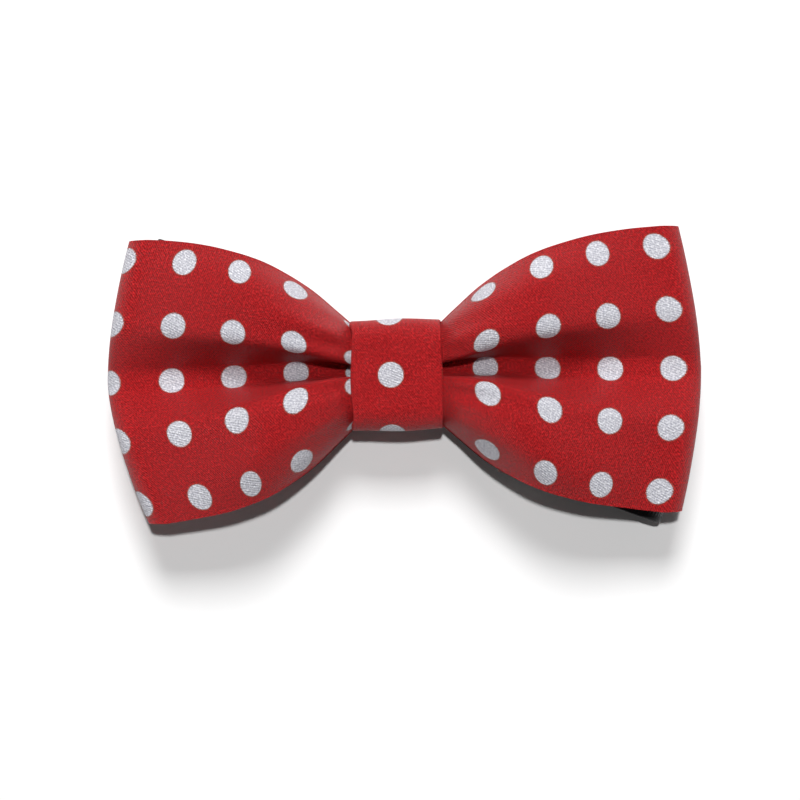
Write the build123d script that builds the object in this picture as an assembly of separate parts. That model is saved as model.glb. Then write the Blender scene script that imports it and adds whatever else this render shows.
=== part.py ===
# Pre-tied bow tie lying face up with its neck strap folded away behind it.
# Millimetres. +Z points out of the face of the bow, X runs along the bow, the strap rests on z = 0.
import os

from build123d import *

# Position of the knot in the part's frame
KNOT_X = -1.3
KNOT_Y = 1.20

# Bow: wing reach and outline, measured from the knot centre
LEFT_TOP = (-53.3, 28.0)
LEFT_BOTTOM = (-50.8, -28.9)
RIGHT_TOP = (57.4, 28.3)
RIGHT_BOTTOM = (56.5, -29.2)
WAIST_HALF_LENGTH = 8.8
WAIST_HALF_HEIGHT = 8.8
WING_RISE = [(11.5, 12.3), (15.0, 15.7), (25.0, 21.6), (39.0, 25.7)]
BOW_BACK = 8.5
WAIST_FRONT = 12.9
LOBE_FRONT = 19.4
END_MID = 12.8
END_RUN = 8.0
END_TOP = (3.0, 15.8)
END_LOW = (2.2, 9.8)
PAST_END = 70.0
LOBE_X = (12.0, 19.0, 32.0, 47.0)
EDGE_CROWN = (13.8, 15.6, 17.2, 16.8)
LOBE_CROWN = (14.6, 18.2, LOBE_FRONT, 18.2)
VALLEY_CROWN = (13.1, 14.0, 16.2, 17.2)
# Height up the bow, left and right reach of the folded end, and the front surface there
SECTIONS = (
    (-30.5, 50.4, 56.2, EDGE_CROWN),
    (-14.0, 56.9, 60.0, LOBE_CROWN),
    (0.0, 58.6, 61.2, VALLEY_CROWN),
    (14.0, 57.2, 60.5, LOBE_CROWN),
    (30.0, 52.4, 57.0, EDGE_CROWN),
)
CLOTH = 0.6
LINING = 0.8
WALL = 2 * CLOTH + LINING

# Knot band
KNOT_HALF_WIDTH = 9.0
KNOT_HALF_HEIGHT = 11.0
KNOT_BACK = 6.4
KNOT_FRONT = 19.2
KNOT_PLY = 0.85
KNOT_FRONT_ROUND = 4.2
KNOT_BACK_ROUND = 2.2
PAD_HALF_WIDTH = 8.4
PAD_HALF_HEIGHT = 9.4
PAD_BOTTOM = 13.55
PAD_TOP = 18.1
THREAD = 0.32
THREAD_PITCH = 0.7
THREAD_TURNS = 5

# Neck strap: direction behind the bow, width, ply and the levels of its runs
STRAP_ANGLE = -21.4
STRAP_OFFSET = -0.3
STRAP_WIDTH = 20.0
PLY = 0.7
FRONT_LEVEL = 7.75
BACK_LEVEL = 5.75
GATE_BACK_LEVEL = 2.35
GATE_FRONT_LEVEL = 0.35
LEFT_FOLD = -51.7
RIGHT_FOLD = 56.75
GAP = 0.05
LEFT_GATE_END = -45.2
RIGHT_GATE_END = 21.0
BUNCH_WIDTH = 10.0
BUNCH_FLAT = 12.0
BUNCH_END = 25.0

# Hook
HOOK_BAR_S = -41.0
HOOK_BAR_Z = 4.75
HOOK_BAR_RADIUS = 0.6
HOOK_HEM_END = -50.0
ARM_INNER = 10.4
ARM_OUTER = 11.2
HOOK_PLATE_BOTTOM = 2.8
HOOK_PLATE_TOP = 3.7
HOOK_TONGUE_HALF = 3.5
CLAW_INNER = 9.8
CLAW_OUTER = 10.9
CLAW_TOP = 5.8
CROSSBAR = (-38.3, -37.1)

# Ring
RING_BAR_S = -25.5
RING_FAR_S = -32.0
RING_Z = 4.45
RING_RADIUS = 0.6
RING_HALF = 10.65
RING_CORNER = 1.2

# Three-bar slider
SLIDER_S = 31.0
SLIDER_HALF = 5.3
SLIDER_BAR = 1.6
SLIDER_BAR_BOTTOM = 6.2
SLIDER_TOP = 7.3
SLIDER_BOTTOM = 3.6
CENTRE_BAR_RADIUS = 0.5
CENTRE_BAR_Z = 4.075
TAIL_RETURN = 26.0

# Bartacks
TACK_STITCHES = 9
TACK_LENGTH = 1.4
TACK_THREAD = 0.4
TACK_SPAN = 14.0
TACK_PROUD = 0.04

HALF_STRAP = STRAP_WIDTH / 2
HALF_PLY = PLY / 2
knot_place = Pos(KNOT_X, KNOT_Y, 0)
strap_place = knot_place * Rot(0, 0, STRAP_ANGLE) * Pos(0, STRAP_OFFSET, 0)
STRAP_SECTION = Plane(origin=(0, 0, 0), x_dir=(1, 0, 0), z_dir=(0, -1, 0))


def box(s0, s1, n0, n1, z0, z1):
    """A block between two corners."""
    return Pos((s0 + s1) / 2, (n0 + n1) / 2, (z0 + z1) / 2) * Box(s1 - s0, n1 - n0, z1 - z0)


def rod(s, z, radius, half):
    """A round bar across the strap."""
    return Pos(s, 0, z) * Rot(90, 0, 0) * Cylinder(radius, 2 * half)


def ply(s0, s1, level):
    """One flat run of strap at a level."""
    return box(s0, s1, -HALF_STRAP, HALF_STRAP, level - HALF_PLY, level + HALF_PLY)


def bunched(s0, s1, level):
    """A run of strap at a level, gathered narrower where it passes the knot."""
    half = BUNCH_WIDTH / 2
    upper = [(s0, HALF_STRAP), (-BUNCH_END, HALF_STRAP), (-BUNCH_FLAT, half)]
    upper += [(BUNCH_FLAT, half), (BUNCH_END, HALF_STRAP), (s1, HALF_STRAP)]
    lower = [(s, -n) for s, n in reversed(upper)]
    face = make_face(Polyline(*(upper + lower), close=True))
    return Pos(0, 0, level - HALF_PLY) * extrude(face, PLY, dir=(0, 0, 1))


def turn(s, low, high, side):
    """Strap turning back on itself from one level to another; side is +1 to the right, -1 to the left."""
    middle = (low + high) / 2
    radius = (high - low) / 2
    ring = rod(s, middle, radius + HALF_PLY, HALF_STRAP) - rod(s, middle, radius - HALF_PLY, STRAP_WIDTH)
    reach = 2 * (radius + HALF_PLY)
    keep = box(min(s, s + side * reach), max(s, s + side * reach), -STRAP_WIDTH, STRAP_WIDTH,
               middle - reach, middle + reach)
    return ring & keep


def tack(s, bottom, top):
    """A bartack: short stitches side by side through the plies."""
    step = TACK_SPAN / (TACK_STITCHES - 1)
    rows = [-TACK_SPAN / 2 + step * i for i in range(TACK_STITCHES)]
    half = TACK_THREAD / 2
    return [box(s, s + TACK_LENGTH, n - half, n + half, bottom, top) for n in rows]


def save(node, shape, place):
    """Moves a piece into the part's frame and writes it."""
    moved = place * shape
    solids = moved.solids()
    export_step(solids[0] if len(solids) == 1 else Compound(children=solids), f"parts/{node}.step")


def bow_outline(inset):
    """The bow's long edges and waist seen from the front, running straight on past the folded ends."""
    half, height = WAIST_HALF_LENGTH, WAIST_HALF_HEIGHT - inset
    edges = []
    for side, high_corner, low_corner in ((1, RIGHT_TOP, RIGHT_BOTTOM), (-1, LEFT_TOP, LEFT_BOTTOM)):
        top = (high_corner[0], high_corner[1] - inset)
        low = (low_corner[0], low_corner[1] + inset)
        upper = [(side * half, height)] + [(side * x, y - inset) for x, y in WING_RISE] + [top]
        lower = [(side * half, -height)] + [(side * x, inset - y) for x, y in WING_RISE] + [low]
        past_top = (side * PAST_END, top[1] + 1)
        past_low = (side * PAST_END, low[1] - 1)
        edges += [Spline(*upper), Spline(*lower)]
        edges += [Line(top, past_top), Line(low, past_low), Line(past_top, past_low)]
    edges += [Line((-half, height), (half, height)), Line((-half, -height), (half, -height))]
    return make_face(Curve() + edges)


def loop_profile(left, right, crown, depth):
    """The bow's loop cut along X: flat back, a lobe on each side in front, and the waist; depth under its face."""
    half = WAIST_HALF_LENGTH
    slant = depth * 0.7
    edges = [Line((-left + END_RUN, BOW_BACK + depth), (right - END_RUN, BOW_BACK + depth))]
    for side, reach in ((-1, left), (1, right)):
        lobe = [(half, WAIST_FRONT - depth)] + [(x, z - depth) for x, z in zip(LOBE_X, crown)]
        lobe += [(reach - END_TOP[0] - slant, END_TOP[1] - slant), (reach - depth, END_MID)]
        lobe += [(reach - END_LOW[0] - slant, END_LOW[1] + slant), (reach - END_RUN, BOW_BACK + depth)]
        edges.append(Spline(*[(side * x, z) for x, z in lobe], tangents=((side, 0), (-side, 0))))
    edges.append(Line((-half, WAIST_FRONT - depth), (half, WAIST_FRONT - depth)))
    return make_face(Curve() + edges)


def block_at(depth):
    """The space inside the bow's loop, this deep under its outer surface."""
    return loft([Pos(0, y, 0) * (STRAP_SECTION * loop_profile(left, right, crown, depth))
                 for y, left, right, crown in SECTIONS])


def layer(outer, inner, inset):
    """A layer of the bow's wall between two depths, trimmed to its outline."""
    trim = extrude(bow_outline(inset), 2 * LOBE_FRONT, dir=(0, 0, 1))
    return (block_at(outer) & trim) - block_at(inner)


def band(width, height, back, front, front_round, back_round):
    """A rounded block running through the knot along X."""
    block = Pos(0, 0, (back + front) / 2) * Box(width, height, front - back)
    along = block.edges().filter_by(Axis.X).sort_by(Axis.Z)
    block = fillet(along[2:], front_round)
    along = block.edges().filter_by(Axis.X).sort_by(Axis.Z)
    return fillet(along[:2], back_round)


os.makedirs("parts", exist_ok=True)

# Bow cover: a sewn tube of jacquard made up into a loop, with its lining sealed inside
lining = layer(CLOTH, CLOTH + LINING, CLOTH)
cover = layer(0, WALL, 0) - lining
save("bow_cover", cover, knot_place)
save("bow_interlining", lining, knot_place)

# Waist thread: turns of thread that gather the bow under the knot
inner = band(THREAD, 2 * WAIST_HALF_HEIGHT + 0.1, BOW_BACK - GAP, WAIST_FRONT + 4 * GAP, 0.3, 0.3)
around = band(THREAD, 2 * WAIST_HALF_HEIGHT + 0.1 + 2 * THREAD, BOW_BACK - GAP - THREAD,
              WAIST_FRONT + 4 * GAP + THREAD, 0.6, 0.6)
loop = around - inner
first = -THREAD_PITCH * (THREAD_TURNS - 1) / 2
turns = [Pos(first + THREAD_PITCH * i, 0, 0) * loop for i in range(THREAD_TURNS)]
save("waist_thread", Compound(children=turns), knot_place)

# Knot: a band of the same cloth round the waist, the pad under its front, its closing stitches behind
outer = band(2 * KNOT_HALF_WIDTH, 2 * KNOT_HALF_HEIGHT, KNOT_BACK, KNOT_FRONT, KNOT_FRONT_ROUND, KNOT_BACK_ROUND)
hollow = band(4 * KNOT_HALF_WIDTH, 2 * (KNOT_HALF_HEIGHT - KNOT_PLY), KNOT_BACK + KNOT_PLY, KNOT_FRONT - KNOT_PLY,
              KNOT_FRONT_ROUND - KNOT_PLY, KNOT_BACK_ROUND - KNOT_PLY)
closing = [Pos(x, 0, 0) * box(-0.2, 0.2, -0.9, 0.9, KNOT_BACK - 0.12, KNOT_BACK + KNOT_PLY + 0.05)
           for x in (-7.5, -4.5, -1.5, 1.5, 4.5, 7.5)]
knot = outer - hollow - closing
save("knot_cover", knot, knot_place)
save("knot_stitches", Compound(children=closing), knot_place)
pad = band(2 * PAD_HALF_WIDTH, 2 * PAD_HALF_HEIGHT, PAD_BOTTOM, PAD_TOP, KNOT_FRONT_ROUND - KNOT_PLY, 0.5)
save("knot_pad", pad, knot_place)

# Strap run through the knot, bunched narrower inside it
save("strap_front_run", bunched(LEFT_FOLD + GAP, RIGHT_FOLD - GAP, FRONT_LEVEL), strap_place)

# Strap run to the hook, hemmed round the hook's bar
hem_level = 2 * HOOK_BAR_Z - BACK_LEVEL
hook_run = ply(LEFT_FOLD + GAP, HOOK_BAR_S, BACK_LEVEL) + turn(HOOK_BAR_S, hem_level, BACK_LEVEL, 1)
hook_run = hook_run + ply(HOOK_HEM_END, HOOK_BAR_S, hem_level)
hook_tack = tack(HOOK_HEM_END + 1.0, hem_level - HALF_PLY - TACK_PROUD, BACK_LEVEL + HALF_PLY + TACK_PROUD)
hook_run = hook_run - hook_tack
save("strap_hook_run", hook_run, strap_place)
save("hook_bartack", Compound(children=hook_tack), strap_place)

# Strap run from the right fold through the slider and round the ring's bar
tail_level = 2 * RING_Z - BACK_LEVEL
ring_run = bunched(RING_BAR_S, RIGHT_FOLD - GAP, BACK_LEVEL) + turn(RING_BAR_S, tail_level, BACK_LEVEL, -1)
save("strap_ring_run", ring_run, strap_place)

# Adjusting tail from the ring back to the slider's centre bar, hemmed round it
return_level = 2 * CENTRE_BAR_Z - tail_level
tail = bunched(RING_BAR_S + GAP, SLIDER_S, tail_level) + turn(SLIDER_S, tail_level, return_level, 1)
tail = tail + ply(TAIL_RETURN, SLIDER_S, return_level)
slider_tack = tack(TAIL_RETURN + 0.6, tail_level - HALF_PLY - TACK_PROUD, return_level + HALF_PLY + TACK_PROUD)
tail = tail - slider_tack
save("strap_tail", tail, strap_place)
save("slider_bartack", Compound(children=slider_tack), strap_place)

# Folds and gates at the two ends of the stored strap
for side, name, fold, gate_end in ((-1, "left", LEFT_FOLD, LEFT_GATE_END), (1, "right", RIGHT_FOLD, RIGHT_GATE_END)):
    save(f"{name}_outer_bend", turn(fold, GATE_FRONT_LEVEL, FRONT_LEVEL, side), strap_place)
    save(f"{name}_inner_bend", turn(fold, GATE_BACK_LEVEL, BACK_LEVEL, side), strap_place)
    start, stop = sorted((fold - side * GAP, gate_end))
    gate = ply(start, stop, GATE_FRONT_LEVEL) + ply(start, stop, GATE_BACK_LEVEL)
    gate = gate + turn(gate_end, GATE_FRONT_LEVEL, GATE_BACK_LEVEL, -side)
    save(f"{name}_gate", gate, strap_place)

# Hook: bar in the hem, side arms, cross piece, tongue and claw through the ring
hook = rod(HOOK_BAR_S, HOOK_BAR_Z, HOOK_BAR_RADIUS, ARM_OUTER)
for sign in (-1, 1):
    n0, n1 = sorted((sign * ARM_INNER, sign * ARM_OUTER))
    hook = hook + box(HOOK_BAR_S - 0.8, CROSSBAR[1], n0, n1, HOOK_PLATE_BOTTOM, HOOK_BAR_Z + HOOK_BAR_RADIUS)
hook = hook + box(CROSSBAR[0], CROSSBAR[1], -ARM_OUTER, ARM_OUTER, HOOK_PLATE_BOTTOM, HOOK_BAR_Z)
claw_reach = HOOK_BAR_S + CLAW_OUTER
claw = rod(HOOK_BAR_S, HOOK_BAR_Z, CLAW_OUTER, HOOK_TONGUE_HALF) - rod(HOOK_BAR_S, HOOK_BAR_Z, CLAW_INNER, STRAP_WIDTH)
claw = claw & box(CROSSBAR[1], claw_reach + 1, -HOOK_TONGUE_HALF, HOOK_TONGUE_HALF, HOOK_PLATE_BOTTOM, CLAW_TOP)
tongue = box(CROSSBAR[0], claw_reach, -HOOK_TONGUE_HALF, HOOK_TONGUE_HALF, HOOK_PLATE_BOTTOM, HOOK_PLATE_TOP)
tongue = tongue & rod(HOOK_BAR_S, HOOK_BAR_Z, CLAW_OUTER, STRAP_WIDTH)
save("hook", hook + tongue + claw, strap_place)

# Ring: a rectangle of wire with its near bar in the strap's turn
ring_path = RectangleRounded(RING_BAR_S - RING_FAR_S, 2 * RING_HALF, RING_CORNER).faces()[0].outer_wire()
wire_end = Plane(origin=ring_path @ 0, z_dir=ring_path % 0)
ring = Pos((RING_BAR_S + RING_FAR_S) / 2, 0, RING_Z) * sweep(wire_end * Circle(RING_RADIUS), ring_path)
save("ring", ring, strap_place)

# Slider: two rails outside the strap, two bars over it and a round bar under it
slider = rod(SLIDER_S, CENTRE_BAR_Z, CENTRE_BAR_RADIUS, ARM_OUTER)
for sign in (-1, 1):
    n0, n1 = sorted((sign * ARM_INNER, sign * ARM_OUTER))
    slider = slider + box(SLIDER_S - SLIDER_HALF, SLIDER_S + SLIDER_HALF, n0, n1, SLIDER_BOTTOM, SLIDER_TOP)
    s0, s1 = sorted((SLIDER_S + sign * SLIDER_HALF, SLIDER_S + sign * (SLIDER_HALF - SLIDER_BAR)))
    slider = slider + box(s0, s1, -ARM_OUTER, ARM_OUTER, SLIDER_BAR_BOTTOM, SLIDER_TOP)
save("slider", slider, strap_place)
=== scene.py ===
import math

import bpy
import numpy as np
from mathutils import Matrix, Vector


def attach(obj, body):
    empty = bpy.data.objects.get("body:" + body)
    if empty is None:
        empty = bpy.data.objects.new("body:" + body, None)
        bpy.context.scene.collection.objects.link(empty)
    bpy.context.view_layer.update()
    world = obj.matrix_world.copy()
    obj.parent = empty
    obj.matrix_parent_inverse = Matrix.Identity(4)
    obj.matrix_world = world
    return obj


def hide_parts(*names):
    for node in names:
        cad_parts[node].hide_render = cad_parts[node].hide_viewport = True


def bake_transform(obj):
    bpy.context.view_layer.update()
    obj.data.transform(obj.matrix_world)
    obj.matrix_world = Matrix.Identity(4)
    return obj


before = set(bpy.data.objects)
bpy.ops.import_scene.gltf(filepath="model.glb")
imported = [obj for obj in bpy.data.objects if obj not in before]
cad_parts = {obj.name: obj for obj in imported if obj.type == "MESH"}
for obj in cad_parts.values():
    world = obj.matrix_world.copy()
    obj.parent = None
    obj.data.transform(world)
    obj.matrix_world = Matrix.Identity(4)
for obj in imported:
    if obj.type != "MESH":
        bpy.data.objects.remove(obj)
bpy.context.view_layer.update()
MM = 0.001

# The table and the light.
# The bow lies face up on a pale table. A small lamp hangs almost straight above it, and a wide
# soft one hangs well past its upper edge and throws a faint shadow below it.
KNOT = Vector((-1.3, 1.2, 0)) * MM


def socket_set(node, values):
    """Sets sockets by name or number."""
    for key, value in values.items():
        node.inputs[key].default_value = value


table_mesh = bpy.data.meshes.new("table")
TABLE_HALF = 1.6
corners = [(x * TABLE_HALF, y * TABLE_HALF, 0) for x, y in ((-1, -1), (1, -1), (1, 1), (-1, 1))]
table_mesh.from_pydata(corners, [], [(0, 1, 2, 3)])
table = bpy.data.objects.new("table", table_mesh)
bpy.context.scene.collection.objects.link(table)
table_paint = bpy.data.materials.new("table_paint")
table_paint.use_nodes = True
table_shader = table_paint.node_tree.nodes["Principled BSDF"]
socket_set(table_shader, {"Base Color": (0.9, 0.9, 0.9, 1), "Roughness": 0.9})
table_mesh.materials.append(table_paint)


def lamp(name, place, target, size, power):
    """A square soft lamp looking at a point."""
    light = bpy.data.lights.new(name, "AREA")
    light.shape = "SQUARE"
    light.size = size
    light.energy = power
    lit = bpy.data.objects.new(name, light)
    lit.location = place
    lit.rotation_mode = "QUATERNION"
    lit.rotation_quaternion = (Vector(target) - Vector(place)).to_track_quat("-Z", "Y")
    bpy.context.scene.collection.objects.link(lit)


lamp("near_lamp", (0.01, 0.125, 0.80), (0, 0, 0), 0.03, 3.6)
lamp("wide_lamp", (0.0, 0.75, 0.95), (0, 0, 0), 0.4, 12.0)
sky = bpy.data.worlds.new("studio")
sky.use_nodes = True
socket_set(sky.node_tree.nodes["Background"], {"Color": (1, 1, 1, 1), "Strength": 0.08})
bpy.context.scene.world = sky
bpy.context.scene.view_settings.view_transform = "Standard"

camera = bpy.data.cameras.new("camera")
camera.sensor_width = 36
camera.lens = 100
eye = bpy.data.objects.new("camera", camera)
aim = Vector((KNOT.x + 0.0003, KNOT.y - 0.00505, 0.012))
up = Vector((0.0262, 0.9997, 0))
right = up.cross(Vector((0, 0, 1)))
turned = Matrix((right, up, Vector((0, 0, 1)))).transposed()
eye.matrix_world = Matrix.Translation(aim + Vector((0, 0, 0.448))) @ turned.to_4x4()
bpy.context.scene.collection.objects.link(eye)
bpy.context.scene.camera = eye

# The bow: one tube of red jacquard, pressed flat and sewn into a loop that is open above and below.
# It is gathered at the waist, so each wing has an upper and a lower lobe either side of a deep
# valley, which fades towards the folded outer end. The back wall is gathered in the same way.
CLOTH_HALF = 29.0
WALL = 1.5
PITCH = 12.5
BACK_Z = 8.9
KNOT_EDGE = 9
FOLD_ROUND = 4.2
FOLD_CLOTH = 11.2
BACK_WAVE = 3.4
RIM = 0.38
LEFT, RIGHT = -1, 1
REACH = {LEFT: 58.6, RIGHT: 61.2}
CORNER_PULL = {LEFT: (5.3, 7.8), RIGHT: (4.0, 4.8)}
PHASE = {LEFT: 20.5, RIGHT: 17.7}


def ease(a, b, x):
    """Smooth step from 0 at a to 1 at b."""
    t = np.clip((np.asarray(x, float) - a) / (b - a), 0, 1)
    return t * t * (3 - 2 * t)


def along(x, *pairs):
    """A smooth curve through (x, value) pairs."""
    xs, ys = zip(*pairs)
    d = np.gradient(np.array(ys, float), np.array(xs, float))
    i = int(np.clip(np.searchsorted(xs, x) - 1, 0, len(xs) - 2))
    h = xs[i + 1] - xs[i]
    t = min(max((x - xs[i]) / h, 0), 1)
    return (ys[i] * (1 + 2 * t) * (1 - t) ** 2 + d[i] * h * t * (1 - t) ** 2
            + ys[i + 1] * t * t * (3 - 2 * t) - d[i + 1] * h * t * t * (1 - t))


def front_section(side, x, upper, v):
    """The front wall over half of a wing at x: share of half width, and height, for lengths v of cloth."""
    wall = along(x, (8, 92), (12, 90), (17.7, 82), (30, 62), (42.7, 44), (55, 27), (62, 22))
    roll = along(x, (8, 84), (12, 76), (17.7, 60), (30, 32), (42.7, 18), (55, 9), (62, 6))
    if side == LEFT and not upper:
        wall *= 1.04
    start, foot = (0.8, 3.2) if upper else (0.5, 2.4)
    crest, brow = (8.6, 13.6) if upper else (8.2, 13.0)
    begin = along(x, (8, 12), (17.7, 15), (30, 18), (62, 19))
    fine = np.linspace(0, CLOTH_HALF, 233)
    rise = wall * ease(start, foot, fine) * (1 - ease(crest, brow, fine))
    angle = np.radians(rise - roll * ease(begin, 28, fine))
    between = (angle[1:] + angle[:-1]) / 2
    y = np.concatenate([[0], np.cumsum(np.cos(between) * fine[1])])
    z = np.concatenate([[0], np.cumsum(np.sin(between) * fine[1])])
    height = along(x, (8, 0.76), (14, 1.15), (25, 1.5), (40, 1.35), (55, 1.1), (62, 1.0))
    return np.interp(v, fine, y) / y.max(), np.interp(v, fine, z) * height


def edge_height(upper, x):
    """How far the open edge stands from the bow's middle line, at a distance from the knot."""
    top = 28.4 if upper else 29.0
    near_knot = ((0, 8.8), (8, 9.6), (11.5, 12.6), (17, 17.2))
    return along(x, *near_knot, (25, 21.7), (38, 25.8), (50, 27.8), (58, top))


def wing_rows(count):
    """Lengths across the cloth, closer together where it folds most."""
    t = np.linspace(-1, 1, count)
    return CLOTH_HALF * (0.75 * t + 0.25 * t ** 3)


def crease(side, x, y, v):
    """Small soft creases that fan out from the knot and fade along the wing."""
    near = math.exp(-max(x - 9, 0) / 14)
    fan = y / max(x * 0.42 + 5, 1)
    phase = 0.7 if side == LEFT else 2.1
    small = 0.55 * np.sin(fan * 8.5 + phase) + 0.35 * np.sin(fan * 15.1 + 1.7 * phase + 0.05 * x)
    broad = 0.35 * np.sin(0.11 * x + 0.13 * v + phase) + 0.25 * np.sin(0.19 * x - 0.1 * v + 2 * phase)
    return small * near * ease(9, 13, x) + broad * ease(14, 30, x) * 0.8


def wing(side, rows):
    """Rings of points from the waist out along the front, round the outer fold and back along the back."""
    points, cloth = [], []
    v = rows
    bulge = np.where(v > 0, CORNER_PULL[side][0], CORNER_PULL[side][1]) * (np.abs(v) / CLOTH_HALF) ** 1.5
    outer = np.linspace(KNOT_EDGE + 1, REACH[side] - FOLD_ROUND, 74)
    xs = np.concatenate([np.linspace(0, KNOT_EDGE, 7), outer])
    for x in xs:
        pull = bulge * ease(KNOT_EDGE, REACH[side] - 6, x)
        yu, zu = front_section(side, x, True, np.clip(v, 0, None))
        yl, zl = front_section(side, x, False, np.clip(-v, 0, None))
        floor = along(x, (0, 10.8), (8, 11.0), (17.7, 11.5), (30, 12.6), (42.7, 13.5), (62, 14.0))
        middle = along(x, (0, 0), (8, 0.6), (17.7, 1.1), (30, 0.5), (45, 0), (62, -0.2))
        y = yu - yl
        y = y * np.where(v > 0, edge_height(True, x), edge_height(False, x))
        y = y + middle * (1 - (np.abs(v) / CLOTH_HALF) ** 2)
        z = floor + zu + zl
        z = z + crease(side, x, y, v)
        squeeze = 1 - 0.25 * (1 - ease(7, 12, x))
        z = BACK_Z + 2 + (z - BACK_Z - 2) * squeeze
        points.append(np.stack([side * (x - pull), y, z], 1))
        cloth.append(np.stack([np.full_like(v, x), v], 1))
    last, before = points[-1], points[-2]
    out = np.abs(last[:, 0])
    lift = (last[:, 2] - BACK_Z) / 2
    for a in np.linspace(0, math.pi, 18)[1:]:
        ring = last.copy()
        ring[:, 0] = side * (out + FOLD_ROUND * math.sin(a) ** 0.9 if a < math.pi else out)
        ring[:, 2] = BACK_Z + lift + lift * math.cos(a)
        points.append(ring)
        cloth.append(np.stack([np.full_like(v, xs[-1] + FOLD_CLOTH * a / math.pi), v], 1))
    used = xs[-1] + FOLD_CLOTH
    for x in xs[::-1][1:]:
        pull = bulge * ease(KNOT_EDGE, REACH[side] - 6, x)
        wave = BACK_WAVE * (1 - ease(12, 52, x)) * ease(5, 10, x)
        share = v / CLOTH_HALF
        y = np.where(v > 0, edge_height(True, x), edge_height(False, x)) * share
        y = y + 0.9 * np.sin(4 * math.pi * share) * (1 - ease(12, 50, x))
        z = BACK_Z + wave * (0.5 - 0.5 * np.cos(4 * math.pi * share)) * 0.5
        points.append(np.stack([side * (x - pull), y, z], 1))
        cloth.append(np.stack([np.full_like(v, used + xs[-1] - x), v], 1))
    return np.array(points), np.array(cloth)


def grid_faces(rings, count, closed=False):
    """Quads between neighbouring rings of points."""
    faces = []
    for i in range(rings if closed else rings - 1):
        a, b = i * count, (i + 1) % rings * count
        faces += [(a + j, a + j + 1, b + j + 1, b + j) for j in range(count - 1)]
    return faces


def cloth_mesh(name, points, cloth, closed):
    """A mesh piece from rings of points in millimetres, with a UV map of the flat cloth in decimetres."""
    rings, count = points.shape[:2]
    mesh = bpy.data.meshes.new(name)
    mesh.from_pydata([tuple(p) for p in points.reshape(-1, 3) * MM], [], grid_faces(rings, count, closed))
    uv = mesh.uv_layers.new(name="cloth")
    flat = cloth.reshape(-1, 2)
    for loop in mesh.loops:
        uv.data[loop.index].uv = flat[loop.vertex_index] * 0.01
    mesh.polygons.foreach_set("use_smooth", [True] * len(mesh.polygons))
    piece = bpy.data.objects.new(name, mesh)
    bpy.context.scene.collection.objects.link(piece)
    return piece


def thicken(piece, thickness, offset):
    """Gives a cloth piece its thickness with rounded rims, as plain mesh."""
    solid = piece.modifiers.new("thick", "SOLIDIFY")
    solid.thickness = thickness * MM
    solid.offset = offset
    solid.use_even_offset = False
    rim = piece.modifiers.new("rim", "BEVEL")
    rim.width = thickness * RIM * MM
    rim.segments = 2
    rim.limit_method = "ANGLE"
    rim.angle_limit = math.radians(50)
    dg = bpy.context.evaluated_depsgraph_get()
    mesh = bpy.data.meshes.new_from_object(piece.evaluated_get(dg))
    piece.modifiers.clear()
    piece.data = mesh
    mesh.polygons.foreach_set("use_smooth", [True] * len(mesh.polygons))
    return piece


class Wire:
    """A shader socket that can be used in Python sums."""

    def __init__(self, tree, socket):
        self.tree, self.socket = tree, socket

    def math(self, operation, *others):
        node = self.tree.nodes.new("ShaderNodeMath")
        node.operation = operation
        for i, value in enumerate((self, *others)):
            put(self.tree, node.inputs[i], value)
        return Wire(self.tree, node.outputs[0])

    def __add__(self, o):
        return self.math("ADD", o)

    def __mul__(self, o):
        return self.math("MULTIPLY", o)

    def __sub__(self, o):
        return self.math("SUBTRACT", o)

    def __truediv__(self, o):
        return self.math("DIVIDE", o)

    def __rsub__(self, o):
        return (self * -1.0) + o

    __radd__ = __add__
    __rmul__ = __mul__


def put(tree, socket, value):
    """A link from a Wire, or a plain value, into a socket."""
    if isinstance(value, Wire):
        tree.links.new(value.socket, socket)
    else:
        socket.default_value = value


class Finish:
    """A material being built: one method adds any node."""

    def __init__(self, name, **shader):
        self.material = bpy.data.materials.new(name)
        self.material.use_nodes = True
        self.tree = self.material.node_tree
        self.shader = self.tree.nodes["Principled BSDF"]
        for key, value in shader.items():
            self.shader.inputs[key.replace("_", " ")].default_value = value

    def node(self, kind, settings=None, sockets=None, out=0):
        made = self.tree.nodes.new("ShaderNode" + kind)
        for key, value in (settings or {}).items():
            if key == "stops":
                ramp = made.color_ramp
                while len(ramp.elements) < len(value):
                    ramp.elements.new(0.5)
                for element, (place, colour) in zip(ramp.elements, value):
                    element.position, element.color = place, colour
            else:
                setattr(made, key, value)
        for key, value in (sockets or {}).items():
            put(self.tree, made.inputs[key], value)
        return Wire(self.tree, made.outputs[out])

    def mix(self, factor, a, b, blend="MIX"):
        return self.node("Mix", {"data_type": "RGBA", "blend_type": blend}, {0: factor, 6: a, 7: b}, out=2)

    def feed(self, **links):
        for key, value in links.items():
            put(self.tree, self.shader.inputs[key.replace("_", " ")], value)
        return self.material


DOT_RADIUS = 2.6
THREAD = 0.2
TWILL_PITCH = 0.46
RIB_PITCH = 0.5


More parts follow.
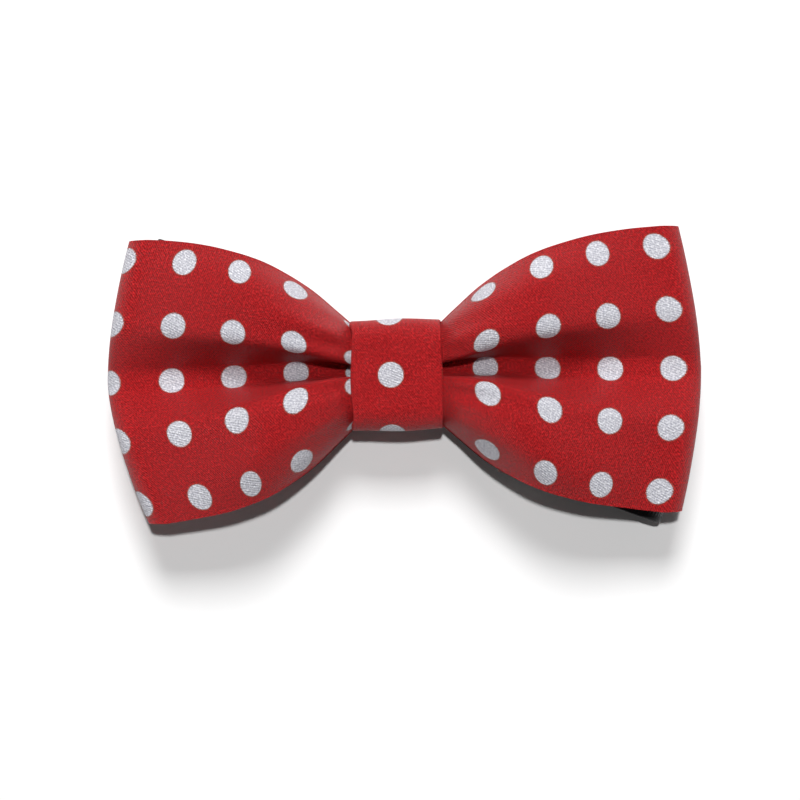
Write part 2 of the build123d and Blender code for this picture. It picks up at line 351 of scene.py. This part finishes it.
def jacquard(name):
    """Red satin jacquard from the cloth's UV map: diagonal twill, and pale woven dots on a square grid."""
    f = Finish(name, Specular_IOR_Level=0.3, Sheen_Weight=0.04, Sheen_Roughness=0.4,
               Sheen_Tint=(1.0, 0.3, 0.3, 1))
    uv = f.node("UVMap", {"uv_map": "cloth"})
    u = f.node("SeparateXYZ", None, {0: uv}) * 100.0
    v = f.node("SeparateXYZ", None, {0: uv}, out=1) * 100.0
    fray = f.node("TexNoise", {"noise_dimensions": "2D"}, {"Vector": uv, "Scale": 420.0, "Detail": 2.0})
    u_thread = (u / THREAD).math("ROUND") * THREAD + (fray - 0.5) * 0.34
    v_thread = (v / THREAD).math("ROUND") * THREAD + (fray - 0.5) * THREAD
    du = ((u_thread / PITCH + 0.5).math("FRACT") - 0.5) * PITCH
    dv = ((v_thread / PITCH + 0.5).math("FRACT") - 0.5) * PITCH
    reach = (du * du + dv * dv).math("SQRT")
    dot = f.node("MapRange", {"clamp": True}, {0: reach, 1: DOT_RADIUS, 2: DOT_RADIUS - 0.14, 3: 0.0, 4: 1.0})
    off_rim = (reach - (DOT_RADIUS + 0.02)).math("ABSOLUTE")
    rim = f.node("MapRange", {"clamp": True}, {0: off_rim, 1: 0.22, 2: 0.04, 3: 0.0, 4: 1.0})
    twill = ((u + v * 0.75 + fray * 0.25) * (2 * math.pi / TWILL_PITCH)).math("SINE") * 0.5 + 0.5
    speck = f.node("TexNoise", {"noise_dimensions": "2D"},
                   {"Vector": uv, "Scale": 230.0, "Detail": 3.0, "Roughness": 0.75})
    grain = f.node("MapRange", {"clamp": True}, {0: speck, 1: 0.4, 2: 0.6, 3: 0.0, 4: 1.0})
    cloud = f.node("TexNoise", {"noise_dimensions": "2D"}, {"Vector": uv, "Scale": 14.0, "Detail": 2.0})
    red = f.mix(twill * 0.4 + grain * 0.6, (0.15, 0.001, 0.002, 1), (0.72, 0.016, 0.02, 1))
    red = f.mix(cloud * 0.3, red, (0.42, 0.006, 0.009, 1))
    ribs = ((v + u * 0.4 + fray * 0.3) * (2 * math.pi / RIB_PITCH)).math("SINE") * 0.5 + 0.5
    pale = f.mix(ribs * 0.35 + grain * 0.65, (0.42, 0.42, 0.49, 1), (0.92, 0.92, 0.97, 1))
    colour = f.mix(rim * 0.35, f.mix(dot, red, pale), (0.30, 0.10, 0.04, 1))
    rough = 0.42 + grain * 0.16 - twill * 0.06 + dot * 0.1
    height = twill * (1.0 - dot) * 0.6 + dot * (ribs * 0.4 + 0.6) + grain * 0.6
    bump = f.node("Bump", None, {"Height": height, "Strength": 1.0, "Distance": 0.0002})
    return f.feed(Base_Color=colour, Roughness=rough, Normal=bump)


def both_wings(rows):
    """The closed loop of the whole bow as rings of points, with the dots' place on the cloth."""
    left, left_cloth = wing(LEFT, rows)
    right, right_cloth = wing(RIGHT, rows)
    left_cloth[..., 0] = PHASE[LEFT] - left_cloth[..., 0]
    right_cloth[..., 0] = right_cloth[..., 0] - PHASE[RIGHT]
    left_cloth[0, :, 0] = (PHASE[LEFT] - PHASE[RIGHT]) / 2
    points = np.concatenate([left[:0:-1], right])
    cloth = np.concatenate([left_cloth[:0:-1], right_cloth])
    return points + np.array([KNOT.x, KNOT.y, 0]) / MM, cloth


points, cloth = both_wings(wing_rows(97))
bow_cover = cloth_mesh("bow_cover_cloth", points, cloth, False)
normals_up = bow_cover.data.polygons[len(bow_cover.data.polygons) // 2].normal.z
if normals_up < 0:
    bow_cover.data.flip_normals()
thicken(bow_cover, WALL, -1)
red_jacquard = jacquard("red_jacquard")
bow_cover.data.materials.clear()
bow_cover.data.materials.append(red_jacquard)
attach(bow_cover, "bow")
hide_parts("bow_cover")

# The lining: a plain woven interlining sealed inside the bow's tube, which keeps the wings crisp.
points, cloth = both_wings(wing_rows(61) * 0.965)
lining = cloth_mesh("bow_lining_cloth", points, cloth, False)
if normals_up < 0:
    lining.data.flip_normals()
for corner in lining.data.vertices:
    corner.co -= corner.normal * 0.0006
thicken(lining, 0.3, -1)
f = Finish("interlining_cloth", Roughness=0.9)
uv = f.node("UVMap", {"uv_map": "cloth"})
threads = f.node("TexWave", {"bands_direction": "X"}, {"Vector": uv, "Scale": 60.0}, out=1)
unbleached = f.mix(threads, (0.62, 0.6, 0.54, 1), (0.8, 0.79, 0.74, 1))
lining.data.materials.append(f.feed(Base_Color=unbleached))
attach(lining, "bow")
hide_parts("bow_interlining")

# The knot: a band of the same jacquard wrapped round the waist over a folded pad.
# Its two ends meet behind, where a few stitches close them.
KNOT_HALF = 11.0
KNOT_TOP = 19.2
KNOT_LOW = 6.45
FRONT_ROUND = 4.4
BACK_ROUND = 2.2


def knot_outline():
    """Half the band's outline from the middle of its front, round its side, to the middle of its back."""
    line = [(y, KNOT_TOP) for y in np.linspace(0, KNOT_HALF - FRONT_ROUND, 9)]
    for a in np.linspace(0, math.pi / 2, 10)[1:]:
        line.append((KNOT_HALF - FRONT_ROUND * (1 - math.sin(a)), KNOT_TOP - FRONT_ROUND * (1 - math.cos(a))))
    line += [(KNOT_HALF, z) for z in np.linspace(KNOT_TOP - FRONT_ROUND, KNOT_LOW + BACK_ROUND, 7)[1:]]
    for a in np.linspace(0, math.pi / 2, 8)[1:]:
        line.append((KNOT_HALF - BACK_ROUND * (1 - math.cos(a)), KNOT_LOW + BACK_ROUND * (1 - math.sin(a))))
    line += [(y, KNOT_LOW) for y in np.linspace(KNOT_HALF - BACK_ROUND, 0.12, 10)[1:]]
    return np.array(line)


half_line = knot_outline()
run = np.concatenate([[0], np.cumsum(np.hypot(*np.diff(half_line, axis=0).T))])
outline = np.concatenate([half_line[:0:-1] * [-1, 1], half_line])
girth = np.concatenate([-run[:0:-1], run])
across = np.linspace(-1, 1, 25)
points, cloth = [], []
for (y, z), g in zip(outline, girth):
    front = ease(9, 17, z)
    x = across * 9.0
    left_bow = -0.55 * math.exp(-((y + 1.5) / 6) ** 2) * front
    tip = -0.5 * math.exp(-((abs(y) - 10.6) / 1.1) ** 2) * front
    x = x + (left_bow + tip) * (1 - across) / 2 - 0.25 * front * (1 + across) / 2 * (y / 11) ** 2
    crown = 0.55 * (1 - across ** 4) - 0.35
    soft = 0.12 * np.sin(across * 5.0 + y * 0.35) + 0.1 * np.sin(y * 0.8 - across * 3)
    lift = (crown + soft) * front
    swell = (0.25 * (1 - across ** 2) + 0.12 * np.sin(across * 4 + 1)) * front
    swell = swell * np.sign(y) * ease(6, 10.5, abs(y))
    points.append(np.stack([x, np.full_like(x, y) + swell, z + lift], 1))
    cloth.append(np.stack([x + 1.4 - 0.6 * ease(5, 9, x), np.full_like(x, g)], 1))
points = np.array(points) + np.array([KNOT.x, KNOT.y, 0]) / MM
knot = cloth_mesh("knot_cloth", points, np.array(cloth), False)
if knot.data.polygons[len(knot.data.polygons) // 2].normal.z < 0:
    knot.data.flip_normals()
thicken(knot, 1.0, -1)
knot.data.materials.append(red_jacquard)
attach(knot, "bow")
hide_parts("knot_cover")

# The pad and the gathering thread stay inside the knot: folded interlining and turns of red thread.
f = Finish("red_thread", Roughness=0.75, Sheen_Weight=0.3)
spot = f.node("TexCoord", out=3)
twist = f.node("TexWave", {"bands_direction": "DIAGONAL"}, {"Vector": spot, "Scale": 900.0}, out=1)
red_thread = f.feed(Base_Color=f.mix(twist, (0.2, 0.006, 0.01, 1), (0.42, 0.016, 0.022, 1)))
f = Finish("black_thread", Roughness=0.7, Sheen_Weight=0.2)
spot = f.node("TexCoord", out=3)
twist = f.node("TexWave", {"bands_direction": "DIAGONAL"}, {"Vector": spot, "Scale": 900.0}, out=1)
black_thread = f.feed(Base_Color=f.mix(twist, (0.006, 0.006, 0.007, 1), (0.03, 0.03, 0.032, 1)))
f = Finish("pad_cloth", Roughness=0.92)
spot = f.node("TexCoord", out=3)
weft = f.node("TexWave", {"bands_direction": "Y"}, {"Vector": spot, "Scale": 500.0}, out=1)
warp = f.node("TexWave", {"bands_direction": "X"}, {"Vector": spot, "Scale": 500.0}, out=1)
pad_cloth = f.feed(Base_Color=f.mix(weft * warp, (0.55, 0.53, 0.47, 1), (0.8, 0.79, 0.73, 1)),
                   Normal=f.node("Bump", None, {"Height": weft * warp, "Strength": 0.4, "Distance": 0.0001}))


def refinish(node, material):
    """Gives a kept CAD piece its finish."""
    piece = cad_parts[node]
    piece.data.materials.clear()
    piece.data.materials.append(material)


refinish("knot_pad", pad_cloth)
refinish("waist_thread", red_thread)

# The neck strap: black satin webbing, gathered narrower where it passes the knot.
# It lies folded behind the wings, turned back on itself at each end, and only its corners show.
ANGLE = math.radians(-21.4)
HALF_STRAP = 10.0
PLY = 0.7
FRONT_LEVEL, BACK_LEVEL = 7.75, 5.75
GATE_FRONT, GATE_BACK = 0.35, 2.35
FOLD = {LEFT: -51.7, RIGHT: 56.75}
GATE_END = {LEFT: -45.2, RIGHT: 21.0}
PIVOT_LEVEL = 4.05
OUTER_BEND, INNER_BEND, GATE_BEND = 3.7, 1.7, 1.0
GATE_MIDDLE = (GATE_FRONT + GATE_BACK) / 2


def strap_point(s, n, z):
    """A point of the strap, along it, across it and up, in the part's frame."""
    n = n - 0.3
    return Vector((KNOT.x / MM + s * math.cos(ANGLE) - n * math.sin(ANGLE),
                   KNOT.y / MM + s * math.sin(ANGLE) + n * math.cos(ANGLE), z)) * MM


def straight(s0, s1, z):
    """Points along a flat run of strap."""
    count = max(int(abs(s1 - s0) / 1.2), 2)
    return [(s, z) for s in np.linspace(s0, s1, count + 1)]


def bend(s, z, radius, start, sweep):
    """Points round a turn of the strap, in degrees."""
    return [(s + radius * math.cos(a), z + radius * math.sin(a))
            for a in np.radians(np.linspace(start, start + sweep, 17))[1:-1]]


def ribbon(name, path):
    """A run of strap along a path of (place, height), with its thickness; also the strap's length in it."""
    length = np.concatenate([[0], np.cumsum(np.hypot(*np.diff(np.array(path), axis=0).T))])
    across = np.linspace(-1, 1, 15)
    points, cloth = [], []
    for (s, z), u in zip(path, length):
        gather = 1 - float(ease(10, 25, abs(s)))
        half = HALF_STRAP - 4.7 * gather
        n = across * half
        pleat = 0.16 * np.cos(across * 9.4) * gather
        points.append([np.array(strap_point(s, m, z + p)) / MM for m, p in zip(n, pleat)])
        cloth.append(np.stack([np.full_like(across, u), across * HALF_STRAP], 1))
    piece = cloth_mesh(name, np.array(points), np.array(cloth), False)
    thicken(piece, PLY - 0.04, 0)
    piece.data.materials.append(webbing)
    return piece, length[-1] * MM


f = Finish("black_webbing", Specular_IOR_Level=0.4, Sheen_Weight=0.15, Sheen_Roughness=0.4)
uv = f.node("UVMap", {"uv_map": "cloth"})
u = f.node("SeparateXYZ", None, {0: uv}) * 100.0
v = f.node("SeparateXYZ", None, {0: uv}, out=1) * 100.0
rib = (u * (2 * math.pi / 0.7)).math("SINE") * 0.5 + 0.5
yarn = (v * (2 * math.pi / 0.5)).math("SINE") * 0.5 + 0.5
lint = f.node("TexNoise", {"noise_dimensions": "2D"}, {"Vector": uv, "Scale": 90.0, "Detail": 4.0})
edge = f.node("MapRange", {"clamp": True}, {0: v.math("ABSOLUTE"), 1: 8.6, 2: 8.8, 3: 0.0, 4: 1.0})
black = f.mix(rib * yarn * 0.6 + lint * 0.4, (0.004, 0.004, 0.005, 1), (0.026, 0.026, 0.03, 1))
webbing = f.feed(Base_Color=black,
                 Roughness=0.42 + lint * 0.2 + edge * 0.15,
                 Normal=f.node("Bump", None, {"Height": rib * (1.0 - edge) + yarn * 0.5 + edge * 0.6,
                                              "Strength": 0.5, "Distance": 0.00015}))

SEAM = -47.5
RING_RUN = -14
TAIL_START = -24.9
TAIL_LEVEL = 3.15
for side, word, turn in ((LEFT, "left", 180), (RIGHT, "right", -180)):
    fold, end = FOLD[side], GATE_END[side]
    path = straight(0, fold, FRONT_LEVEL) + bend(fold, PIVOT_LEVEL, OUTER_BEND, 90, turn)
    path += straight(fold, end, GATE_FRONT)
    outer, length = ribbon("strap_" + word + "_outer_cloth", path)
    strap_point(0, 0, 7.35)
    strap_point(0, 0, 0.75)
    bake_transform(outer)
    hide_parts(word + "_outer_bend", *(["strap_front_run"] if side == LEFT else []))
    path = [(end, GATE_FRONT)] + bend(end, GATE_MIDDLE, GATE_BEND, -90 if side == LEFT else 270, turn)
    path += straight(end, fold, GATE_BACK)
    path += bend(fold, PIVOT_LEVEL, INNER_BEND, 270 if side == LEFT else -90, -turn)
    path += straight(fold, SEAM if side == LEFT else RING_RUN, BACK_LEVEL)
    inner, length = ribbon("strap_" + word + "_inner_cloth", path)
    strap_point(0, 0, 5.35)
    strap_point(0, 0, 2.75)
    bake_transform(inner)
    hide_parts(word + "_inner_bend", word + "_gate")

HOOK_BAR = (-41.0, 4.75)
HOOK_HEM_END = -50.0
path = straight(SEAM, HOOK_BAR[0], BACK_LEVEL) + bend(*HOOK_BAR, 1.0, 90, -180)
path += straight(HOOK_BAR[0], HOOK_HEM_END, 2 * HOOK_BAR[1] - BACK_LEVEL)
hem, length = ribbon("hook_hem_cloth", path)
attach(hem, "bow")
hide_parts("strap_hook_run")

RING_BAR = (-25.5, 4.45)
path = straight(RING_RUN, RING_BAR[0], BACK_LEVEL) + bend(*RING_BAR, 1.3, 90, 180)
path += straight(RING_BAR[0], TAIL_START, TAIL_LEVEL)
ring_turn, length = ribbon("ring_turn_cloth", path)
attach(ring_turn, "bow")
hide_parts("strap_ring_run")

SLIDER_BAR = (31.0, 4.075)
path = straight(TAIL_START, SLIDER_BAR[0], TAIL_LEVEL) + bend(*SLIDER_BAR, 0.925, -90, 180)
path += straight(SLIDER_BAR[0], 26.0, 5.0)
tail, length = ribbon("strap_tail_cloth", path)
strap_point(-20, 0, 0)
strap_point(22, 0, 0)
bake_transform(tail)
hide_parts("strap_tail")

# The stitches: bartacks of black thread through the two hems, and red stitches that close the knot behind.
# Each stitch is a small loop of thread that passes through both plies.
tree = bpy.data.node_groups.new("stitch_row", "GeometryNodeTree")
tree.interface.new_socket("Geometry", in_out="OUTPUT", socket_type="NodeSocketGeometry")
inputs = {}
for label, kind in (("Stitches", "Int"), ("Pitch", "Float"), ("Length", "Float"), ("Depth", "Float"),
                    ("Thread Radius", "Float"), ("Thread", "Material")):
    made = tree.interface.new_socket(label, in_out="INPUT", socket_type="NodeSocket" + kind)
    inputs[label] = made.identifier


def geo(kind, settings=None, sockets=None):
    """A node of the stitch tree with its settings and the values or links of its sockets."""
    made = tree.nodes.new(kind)
    for key, value in (settings or {}).items():
        setattr(made, key, value)
    for key, value in (sockets or {}).items():
        if isinstance(value, bpy.types.NodeSocket):
            tree.links.new(value, made.inputs[key])
        else:
            made.inputs[key].default_value = value
    return made


given = geo("NodeGroupInput").outputs
spacing = geo("ShaderNodeCombineXYZ", None, {"Y": given["Pitch"]})
row = geo("GeometryNodeMeshLine", {"mode": "OFFSET"},
          {"Count": given["Stitches"], "Offset": spacing.outputs[0]})
oblong = geo("GeometryNodeCurvePrimitiveQuadrilateral", {"mode": "RECTANGLE"},
             {"Width": given["Length"], "Height": given["Depth"]})
rounded = geo("GeometryNodeFilletCurve", {"mode": "POLY"},
              {"Curve": oblong.outputs[0], "Count": 3, "Radius": given["Thread Radius"]})
stood = geo("GeometryNodeTransform", None, {"Geometry": rounded.outputs[0], "Rotation": (math.pi / 2, 0, 0)})
strand = geo("GeometryNodeCurvePrimitiveCircle", None, {"Resolution": 8, "Radius": given["Thread Radius"]})
solid = geo("GeometryNodeCurveToMesh", None, {"Curve": stood.outputs[0], "Profile Curve": strand.outputs[0]})
placed = geo("GeometryNodeInstanceOnPoints", None, {"Points": row.outputs[0], "Instance": solid.outputs[0]})
real = geo("GeometryNodeRealizeInstances", None, {"Geometry": placed.outputs[0]})
dyed = geo("GeometryNodeSetMaterial", None, {"Geometry": real.outputs[0], "Material": given["Thread"]})
geo("NodeGroupOutput", None, {0: dyed.outputs[0]})


def stitch_row(name, thread, place, body, node, slot, **sizes):
    """A row of stitches made by the tree, turned into mesh, put in its place and tied to its body."""
    piece = bpy.data.objects.new(name, bpy.data.meshes.new(name))
    bpy.context.scene.collection.objects.link(piece)
    rows = piece.modifiers.new("stitches", "NODES")
    rows.node_group = tree
    for label, value in dict(sizes, Thread=thread).items():
        rows[inputs[label.replace("_", " ")]] = value
    bpy.context.view_layer.update()
    mesh = bpy.data.meshes.new_from_object(piece.evaluated_get(bpy.context.evaluated_depsgraph_get()))
    piece.modifiers.clear()
    mesh.transform(place)
    mesh.polygons.foreach_set("use_smooth", [True] * len(mesh.polygons))
    piece.data = mesh
    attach(piece, body)
    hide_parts(node)


along_strap = Matrix.Rotation(ANGLE, 4, "Z")
tack = dict(Stitches=15, Pitch=0.001, Length=0.0014, Thread_Radius=0.00018)
hook_tack_place = Matrix.Translation(strap_point(-48.3, -7, HOOK_BAR[1])) @ along_strap
stitch_row("hook_bartack_thread", black_thread, hook_tack_place, "bow", "hook_bartack", "black_thread",
           Depth=0.0029, **tack)
slider_tack_place = Matrix.Translation(strap_point(27.3, -7, SLIDER_BAR[1])) @ along_strap
stitch_row("slider_bartack_thread", black_thread, slider_tack_place, "slider_body", "slider_bartack",
           "black_thread", Depth=0.0027, **tack)
closing = Matrix.Translation(KNOT + Vector((-0.0078, 0, 0.00692))) @ Matrix.Rotation(-math.pi / 2, 4, "Z")
stitch_row("knot_closing_thread", red_thread, closing, "bow", "knot_stitches", "red_thread",
           Stitches=13, Pitch=0.0013, Length=0.0017, Depth=0.0012, Thread_Radius=0.00016)

# The fastening: a stamped hook, a wire ring and a three-bar slider, all bright nickel with fine wear.
f = Finish("nickel_plate", Metallic=1.0, Specular_IOR_Level=0.5)
spot = f.node("TexCoord", out=3)
scuff = f.node("TexNoise", None, {"Vector": spot, "Scale": 700.0, "Detail": 5.0, "Roughness": 0.7})
cloudy = f.node("TexNoise", None, {"Vector": spot, "Scale": 120.0, "Detail": 2.0})
nickel = f.feed(Base_Color=f.mix(cloudy, (0.62, 0.6, 0.55, 1), (0.8, 0.79, 0.75, 1)),
                Roughness=0.16 + scuff * 0.22,
                Normal=f.node("Bump", None, {"Height": scuff, "Strength": 0.12, "Distance": 0.0001}))
for node in ("hook", "ring", "slider"):
    refinish(node, nickel)
